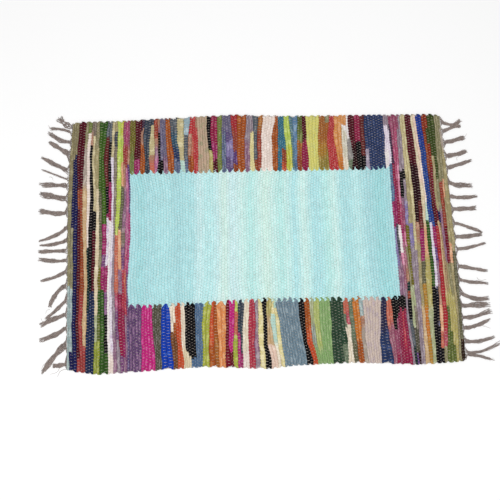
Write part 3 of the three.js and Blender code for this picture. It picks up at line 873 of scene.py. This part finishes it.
def new_finish(name, roughness, sheen):
    """An empty cloth material with its shader, whose plain numbers are set on its own sockets."""
    material = bpy.data.materials.new(name)
    material.use_nodes = True
    shader = material.node_tree.nodes["Principled BSDF"]
    shader.inputs["Roughness"].default_value = roughness
    shader.inputs["Sheen Weight"].default_value = sheen
    shader.inputs["Sheen Roughness"].default_value = 0.5
    shader.inputs["Specular IOR Level"].default_value = 0.12
    return material, shader


def cotton_jersey_rag():
    """Cotton jersey, dyed, cut in strips and folded as it is beaten in: matt, a little fuzzy, with
    lengthwise folds that show the paler back of the cloth, and an uneven, washed dye."""
    material, shader = new_finish("cotton_jersey_rag", 0.92, 0.06)
    strand = add_node(material, "ShaderNodeUVMap", {"uv_map": "strand"})
    # One fold and the hollow beside it are 2.8 mm across the rag and 18 mm long.
    folds_place = add_node(material, "ShaderNodeMapping", i0=strand.outputs[0],
                           i3=(per_metre(2.8), per_metre(18), 1.0))
    folds = add_node(material, "ShaderNodeTexNoise", Vector=folds_place.outputs[0], Scale=1.0,
                     Detail=3.0, Roughness=0.55)
    dye = add_node(material, "ShaderNodeAttribute", {"attribute_name": "dye"})
    back = add_node(material, "ShaderNodeAttribute", {"attribute_name": "back_dye"})
    share = add_node(material, "ShaderNodeAttribute", {"attribute_name": "back_share"})
    # The noise lies mostly between 0.3 and 0.7, so the share picks a level in that range.
    level = add_node(material, "ShaderNodeMath", {"operation": "MULTIPLY_ADD"},
                     i0=share.outputs["Fac"], i1=-0.4, i2=0.7)
    above = add_node(material, "ShaderNodeMath", {"operation": "SUBTRACT"},
                     i0=folds.outputs["Fac"], i1=level.outputs[0])
    shows = add_node(material, "ShaderNodeMapRange", {"interpolation_type": "SMOOTHSTEP"},
                     Value=above.outputs[0], From_Min=-0.04, From_Max=0.05)
    cloth = add_node(material, "ShaderNodeMix", {"data_type": "RGBA"}, i0=shows.outputs[0],
                     i6=dye.outputs["Color"], i7=back.outputs["Color"])
    # The dye took a little unevenly, in patches about 25 mm long.
    patch_place = add_node(material, "ShaderNodeMapping", i0=strand.outputs[0],
                           i3=(per_metre(30), per_metre(25), 1.0))
    patches = add_node(material, "ShaderNodeTexNoise", Vector=patch_place.outputs[0], Scale=1.0,
                       Detail=2.0)
    tone = add_node(material, "ShaderNodeMapRange", Value=patches.outputs["Fac"], From_Min=0.3,
                    From_Max=0.7, To_Min=0.93, To_Max=1.07)
    # Knit courses run across the rag 0.9 mm apart. The colour is painted a shade darker in the grooves
    # between them and lighter on their tops, in step with their bump.
    courses = add_node(material, "ShaderNodeTexWave", {"wave_type": "BANDS", "bands_direction": "Y"},
                       Vector=strand.outputs[0], Scale=bands_scale(0.9), Distortion=1.5, Detail=1.0,
                       Detail_Scale=2.0)
    # Painted shade in the grooves between the courses and painted light on their tops.
    course_shade = add_node(material, "ShaderNodeMapRange", Value=courses.outputs["Fac"], To_Min=0.95,
                    To_Max=1.04)
    toned = add_node(material, "ShaderNodeVectorMath", {"operation": "SCALE"},
                     i0=cloth.outputs[2], Scale=tone.outputs[0])
    course_shaded = add_node(material, "ShaderNodeVectorMath", {"operation": "SCALE"},
                      i0=toned.outputs[0], Scale=course_shade.outputs[0])
    relief = add_node(material, "ShaderNodeMath", {"operation": "MULTIPLY_ADD"},
                      i0=courses.outputs["Fac"], i1=0.12, i2=folds.outputs["Fac"])
    bump = add_node(material, "ShaderNodeBump", Strength=0.4, Distance=0.9 * MM,
                    Height=relief.outputs[0])
    links = material.node_tree.links
    links.new(course_shaded.outputs[0], shader.inputs["Base Color"])
    links.new(bump.outputs[0], shader.inputs["Normal"])
    return material


def cotton_warp_yarn(name, hollow_shade_and_grime, lit_crown):
    """Undyed two-ply cotton warp: matt and hairy, with the ply's slanting ridges painted lighter on their
    crowns and shade painted into the hollows between them. In the cloth it is a pale greige; the fringe is
    given a darker grey."""
    material, shader = new_finish(name, 0.95, 0.08)
    strand = add_node(material, "ShaderNodeUVMap", {"uv_map": "strand"})
    # Two plies turn once in about 4 mm, so their ridges slant and lie 2 mm apart.
    slant = add_node(material, "ShaderNodeMapping", i0=strand.outputs[0],
                     i2=(0.0, 0.0, math.radians(40)))
    ply = add_node(material, "ShaderNodeTexWave", {"wave_type": "BANDS", "bands_direction": "X"},
                   Vector=slant.outputs[0], Scale=bands_scale(1.9635), Distortion=2.0, Detail=2.0)
    # Grime lies in patches of about 8 mm.
    grime = add_node(material, "ShaderNodeTexNoise", Vector=slant.outputs[0],
                     Scale=per_metre(25 / 3), Detail=3.0)
    mix = add_node(material, "ShaderNodeMath", {"operation": "MULTIPLY_ADD"}, i0=ply.outputs["Fac"],
                   i1=0.45, i2=grime.outputs["Fac"])
    # The ramp runs from painted shade in the ply's hollows and in the grime patches to a painted lighter
    # crown on its ridges.
    ramp = add_node(material, "ShaderNodeValToRGB", i0=mix.outputs[0])
    ends = ramp.color_ramp.elements
    ends[0].position, ends[0].color = 0.4, (*to_linear(hollow_shade_and_grime), 1)
    ends[1].position, ends[1].color = 0.9, (*to_linear(lit_crown), 1)
    bump = add_node(material, "ShaderNodeBump", Strength=0.6, Distance=0.4 * MM, Height=mix.outputs[0])
    links = material.node_tree.links
    links.new(ramp.outputs["Color"], shader.inputs["Base Color"])
    links.new(bump.outputs[0], shader.inputs["Normal"])
    return material


rag_finish = cotton_jersey_rag()
# The warp inside the cloth is given a pale greige, and the yarns of the fringe a darker grey.
warp_finish = cotton_warp_yarn("paler_cotton_warp", "#8f8376", "#d4c9bc")
fringe_finish = cotton_warp_yarn("darker_cotton_fringe", "#5a4f4b", "#b3a49d")


# The woven sections

def woven_section(name, picks, near_join, far_join, cells_across):
    """One section of the cloth: a single rag laid back and forth, in its dyes."""
    table, dyes = lay_weft(picks, near_join, far_join)
    piece = tube_mesh(name, [(rag_rings(table), table[:, 8])], cells_across, RAG_GIRTH)
    dye_rags(piece, dyes)
    piece.data.materials.append(rag_finish)
    return piece


sections = [
    woven_section("end_band_left", left_band, None, None, 1),
    woven_section("border_far", far_border, FAR_JOIN, None, 4),
    woven_section("border_near", near_border, None, NEAR_JOIN, 4),
    woven_section("panel_left", panel[:inner // 2], NEAR_JOIN, FAR_JOIN, 2),
    woven_section("panel_right", panel[inner // 2:], NEAR_JOIN, FAR_JOIN, 2),
    woven_section("end_band_right", right_band, None, None, 1),
]


# The warp, which shows as short greige dashes where it passes over a rag

def pick_centres(y):
    """The x of every pick's centre at y, from the left end to the right."""
    far = y > reading(FAR_JOIN, 0)
    near = y < reading(NEAR_JOIN, 0)
    middle = far_border if far else near_border if near else panel
    return np.array([np.mean(sides_at(p, y)) for p in [*left_band, *middle, *right_band]])


def warp_yarn(warp):
    """One warp's path through all the picks, over one rag and under the next."""
    x = pick_centres(float(warp_line(warp, 0.0)))
    over = (np.arange(PICKS) + warp) % 2 == 1
    return x, warp_line(warp, x), MID_HEIGHT + np.where(over, YARN_LIFT, -YARN_LIFT)


def yarn_rings(x, y, z, radius):
    """Rings of a yarn's section along a path, turned to the path's own direction."""
    path = np.column_stack((x, y, z))
    ahead = np.gradient(path, axis=0)
    side = np.column_stack((ahead[:, 1], -ahead[:, 0], np.zeros(len(x))))
    side /= np.linalg.norm(side, axis=1)[:, None]
    up = np.cross(side, ahead)
    up /= np.linalg.norm(up, axis=1)[:, None]
    radius = np.broadcast_to(radius, len(x))[:, None]
    rings = []
    for k in range(YARN_SIDES):
        angle = 2 * math.pi * k / YARN_SIDES + math.pi / 2
        rings.append(path + side * radius * math.cos(angle) + up * radius * math.sin(angle))
    return np.stack(rings, 1)


def warp_piece(name, warps):
    """The warp yarns of these numbers, from end to end of the cloth."""
    strands = []
    for warp in warps:
        rings = yarn_rings(*warp_yarn(warp), WARP_RADIUS)
        strands.append((rings, np.zeros(len(rings))))
    piece = tube_mesh(name, strands, 1, 2 * math.pi * WARP_RADIUS)
    piece.data.materials.append(warp_finish)
    return piece


warps_near = warp_piece("warp_near", range(0, WARPS // 2))
warps_far = warp_piece("warp_far", range(WARPS // 2, WARPS))


# The fringe: every warp runs out of the cloth and joins the lock nearest to it

# A warp end loosens once it is out of the cloth, so it is thicker there, and its plies come apart.
LOOSE_RADIUS = 0.66
UNEVEN_RADIUS = 0.1
TIP_THINNING = 0.5
PLIES = 2
PLY_SPREAD = 0.6
PLY_TURN = 14
# Yarns differ in length, as a share of their lock's. Their steps are closer together near the cloth.
LENGTH_SPREAD = 0.06
LENGTH_LIMITS = (0.82, 1.05)
FRINGE_STEPS = 16
STEP_EASE = 1.45
# The shares of its length over which a yarn is drawn into its lock and comes down to the floor.
GATHER_SHARE = 0.15
DROP_SHARE = 0.11
LOCK_TWIST = 0.55
LOCK_WIDENING = 1.4
# How far out in the lock its first, second and third yarn wind, and so on again.
WINDING_SPREADS = (1, 0.42, 0.8)
# Just inside the cloth's end, where the warps are shared out to the locks.
SHARE_OUT_AT = 440.0
# Short stray fibres stand out from each lock.
STRAYS = 9
STRAY_RADIUS = 0.2
THREAD_STEPS = 7
# Single threads lying loose or half pulled out: start, end and bow, and how thick.
LOOSE_THREADS = (
    (-488, 281, -507, 288, 4, 0.35), (-500, 157, -490, 149, 3, 0.3), (-449, -296, -468, -312, -4, 0.4),
    (-462, -288, -483, -307, 5, 0.35), (-488, -281, -503, -292, -3, 0.35),
    (-496, -188, -508, -180, 3, 0.3), (-488, -160, -498, -170, -3, 0.3), (-453, -106, -470, -109, 2, 0.4),
    (496, 245, 508, 252, -3, 0.35), (478, 183, 484, 195, 3, 0.3), (478, -227, 516, -226, 5, 0.4),
    (497, -108, 518, -113, -4, 0.35),
)


def lock_line(lock, end_sign, edge, share):
    """A lock's middle line: a bend from the cloth's edge through its bend to its tip."""
    root, bend_out, bend, tip_out, tip, _, _ = lock
    start = np.array((edge, root))
    through = np.array((end_sign * (NOMINAL_END + bend_out), bend))
    end = np.array((end_sign * (NOMINAL_END + tip_out), tip))
    control = 2 * through - (start + end) / 2
    t = share[:, None]
    line = (1 - t) ** 2 * start + 2 * t * (1 - t) * control + t ** 2 * end
    heading = 2 * (1 - t) * (control - start) + 2 * t * (end - control)
    heading /= np.linalg.norm(heading, axis=1)[:, None]
    return line, np.column_stack((-heading[:, 1], heading[:, 0]))


def lock_yarns(lock, group, end_table, end_sign, phase, turning):
    """The warps of one lock: each leaves the cloth, is drawn in, comes apart into its plies and
    winds round the others."""
    width, tip_width = lock[5], lock[6]
    end_pick = 0 if end_sign < 0 else PICKS - 1
    yarns = []
    for rank, (warp, y_start) in enumerate(group):
        x_start = pick_centres(y_start)[end_pick]
        edge = float(reading(end_table, y_start))
        start_z = MID_HEIGHT + (YARN_LIFT if (end_pick + warp) % 2 else -YARN_LIFT)
        for ply in range(PLIES):
            length = float(np.clip(1 + LENGTH_SPREAD * rng.standard_normal(), *LENGTH_LIMITS))
            share = length * np.linspace(0, 1, FRINGE_STEPS) ** STEP_EASE
            line, across = lock_line(lock, end_sign, float(reading(end_table, lock[0])), share)
            angle = 2 * math.pi * (rank / len(group) + turning * LOCK_TWIST * share) + phase
            spread = (width + (tip_width - width) * share) / 2 * LOCK_WIDENING - LOOSE_RADIUS
            spread = np.maximum(spread, 0.5) * (0.84 + 0.16 * np.sin(11 * share + phase))
            spread = spread * WINDING_SPREADS[rank % len(WINDING_SPREADS)]
            hold = smooth(share / GATHER_SHARE)
            ply_angle = 2 * math.pi * ply / PLIES + PLY_TURN * share + warp
            apart = PLY_SPREAD * hold * (1 + 1.2 * share)
            shift = spread * np.cos(angle) + apart * np.cos(ply_angle)
            shift += 0.3 * np.sin(share * 13 + warp) * share
            gathered = line + across * shift[:, None]
            free = np.column_stack((edge + (line[:, 0] - line[0, 0]), np.full(len(share), y_start)))
            path = np.vstack(((x_start, y_start), free + (gathered - free) * hold[:, None]))
            height = LOOSE_RADIUS + 0.8 * (1 + np.sin(angle)) + 0.4 * apart * (1 + np.sin(ply_angle))
            z = start_z + (height - start_z) * smooth(share / DROP_SHARE)
            z = np.concatenate(((start_z,), z))
            radius = WARP_RADIUS + (LOOSE_RADIUS - WARP_RADIUS) * hold
            radius = radius * (1 + UNEVEN_RADIUS * rng.standard_normal(len(share)))
            radius = np.concatenate(((WARP_RADIUS,), radius))
            radius[-1] *= TIP_THINNING
            yarns.append(yarn_rings(path[:, 0], path[:, 1], np.maximum(z, radius), radius))
    return yarns


def bowed_thread(start, end, bow, radius, height):
    """A short thread from start to end, bowed sideways."""
    share = np.linspace(0, 1, THREAD_STEPS)
    start, end = np.array(start, float), np.array(end, float)
    across = np.array((start[1] - end[1], end[0] - start[0]))
    across /= np.linalg.norm(across)
    path = start + (end - start) * share[:, None]
    path = path + across * (bow * np.sin(math.pi * share) + 0.25 * bow * np.sin(5 * share))[:, None]
    z = np.maximum(np.interp(share, (0, 1), height), radius)
    return yarn_rings(path[:, 0], path[:, 1], z, radius * (1 - 0.4 * share))


def lock_strays(lock, end_table, end_sign):
    """Fibres that stand out from a lock's sides and its tip."""
    strays = []
    for _ in range(STRAYS):
        share = rng.uniform(0.12, 1.0)
        line, across = lock_line(lock, end_sign, float(reading(end_table, lock[0])), np.array([share]))
        side = rng.choice((-1, 1))
        half = (lock[5] + (lock[6] - lock[5]) * share) / 2
        start = line[0] + across[0] * side * half * 0.6
        out = np.array((across[0][1], -across[0][0]))
        end = start + across[0] * side * rng.uniform(1.5, 4) + out * rng.uniform(-1, 6)
        bow, tip_height = rng.uniform(-1, 1), rng.uniform(0.3, 2)
        strays.append(bowed_thread(start, end, bow, STRAY_RADIUS, (1.5, tip_height)))
    return strays


def fringe_piece(name, locks, end_table, end_sign):
    """The fringe of one end: its locks, their stray fibres and the loose threads near them."""
    order = sorted(locks, key=lambda lock: lock[0])
    borders = [(a[0] + b[0]) / 2 for a, b in zip(order, order[1:])]
    members = [[] for _ in order]
    for warp in range(WARPS):
        y = float(warp_line(warp, end_sign * SHARE_OUT_AT))
        members[int(np.searchsorted(borders, y))].append((warp, y))
    tubes = []
    for lock, group in zip(order, members):
        phase, turning = rng.uniform(0, 2 * math.pi), rng.choice((-1, 1))
        tubes += lock_yarns(lock, group, end_table, end_sign, phase, turning)
        tubes += lock_strays(lock, end_table, end_sign)
    for x_0, y_0, x_1, y_1, bow, radius in LOOSE_THREADS:
        if x_0 * end_sign > 0:
            tubes.append(bowed_thread((x_0, y_0), (x_1, y_1), bow, radius, (0.9, 0.5)))
    strands = [(rings, np.zeros(len(rings))) for rings in tubes]
    piece = tube_mesh(name, strands, 6, 2 * math.pi * LOOSE_RADIUS)
    piece.data.materials.append(fringe_finish)
    return piece


fringe_left = fringe_piece("fringe_yarns_left", LEFT_LOCKS, LEFT_END, -1)
fringe_right = fringe_piece("fringe_yarns_right", RIGHT_LOCKS, RIGHT_END, 1)

for piece in (*sections, warps_near, warps_far, fringe_left, fringe_right):
    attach(piece, "root")
for piece in sections:
    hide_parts("woven_cloth")
for piece in (warps_near, warps_far):
    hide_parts("woven_cloth")
for piece, node in ((fringe_left, "fringe_left"), (fringe_right, "fringe_right")):
    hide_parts(node)


# Camera, floor and light

# The camera as fitted to the photo from the cloth's corners and straight sides: what it looks at and
# from how far, in millimetres, and its angles in radians.
CAMERA_TARGET = (-30.73, -30.29, 0.0)
CAMERA_DISTANCE = 1863.4
CAMERA_TILT = 0.25266
CAMERA_YAW = -0.17229
CAMERA_ROLL = 0.14693
FOCAL_PX = 800
FRAME_PX = 500
SENSOR = 36.0
FLOOR_HALF = 6.0


def add_camera():
    """The photo's camera."""
    back = Vector((math.sin(CAMERA_YAW) * math.sin(CAMERA_TILT),
                   -math.cos(CAMERA_YAW) * math.sin(CAMERA_TILT), math.cos(CAMERA_TILT)))
    level = Vector((0, 0, 1)).cross(back).normalized()
    upright = back.cross(level)
    right = math.cos(CAMERA_ROLL) * level + math.sin(CAMERA_ROLL) * upright
    up = -math.sin(CAMERA_ROLL) * level + math.cos(CAMERA_ROLL) * upright
    data = bpy.data.cameras.new("photo_camera")
    data.sensor_width = SENSOR
    data.lens = FOCAL_PX / FRAME_PX * SENSOR
    camera = bpy.data.objects.new("photo_camera", data)
    place = Vector(CAMERA_TARGET) * MM + back * CAMERA_DISTANCE * MM
    turn = Matrix((right, up, back)).transposed().to_4x4()
    camera.matrix_world = Matrix.Translation(place) @ turn
    bpy.context.scene.collection.objects.link(camera)
    bpy.context.scene.camera = camera


def add_floor():
    """A plain pale paper floor, 12 m square."""
    mesh = bpy.data.meshes.new("floor")
    corners = [(x * FLOOR_HALF, y * FLOOR_HALF, 0) for x, y in ((-1, -1), (1, -1), (1, 1), (-1, 1))]
    mesh.from_pydata(corners, [], [(0, 1, 2, 3)])
    floor = bpy.data.objects.new("floor", mesh)
    material = bpy.data.materials.new("pale_paper")
    material.use_nodes = True
    shader = material.node_tree.nodes["Principled BSDF"]
    shader.inputs["Base Color"].default_value = (*to_linear("#fefefe"), 1)
    shader.inputs["Roughness"].default_value = 1.0
    shader.inputs["Specular IOR Level"].default_value = 0.0
    mesh.materials.append(material)
    bpy.context.scene.collection.objects.link(floor)


def add_light(name, place, size, power):
    """A square soft light aimed at the rug. Place and size are in metres, and power in watts."""
    data = bpy.data.lights.new(name, "AREA")
    data.size = size
    data.energy = power
    light = bpy.data.objects.new(name, data)
    light.location = place
    light.rotation_mode = "QUATERNION"
    light.rotation_quaternion = (-Vector(place)).to_track_quat("-Z", "Y")
    bpy.context.scene.collection.objects.link(light)


def add_sky(strength):
    """An even white light from all round."""
    world = bpy.data.worlds.new("studio")
    world.use_nodes = True
    background = world.node_tree.nodes["Background"]
    background.inputs["Color"].default_value = (1, 1, 1, 1)
    background.inputs["Strength"].default_value = strength
    bpy.context.scene.world = world


add_camera()
add_floor()
add_light("key", (0.0, -0.35, 4.2), 1.8, 106)
add_light("fill", (-0.8, -1.6, 1.9), 1.6, 9.5)
add_sky(0.385)
bpy.context.scene.view_settings.view_transform = "Standard"
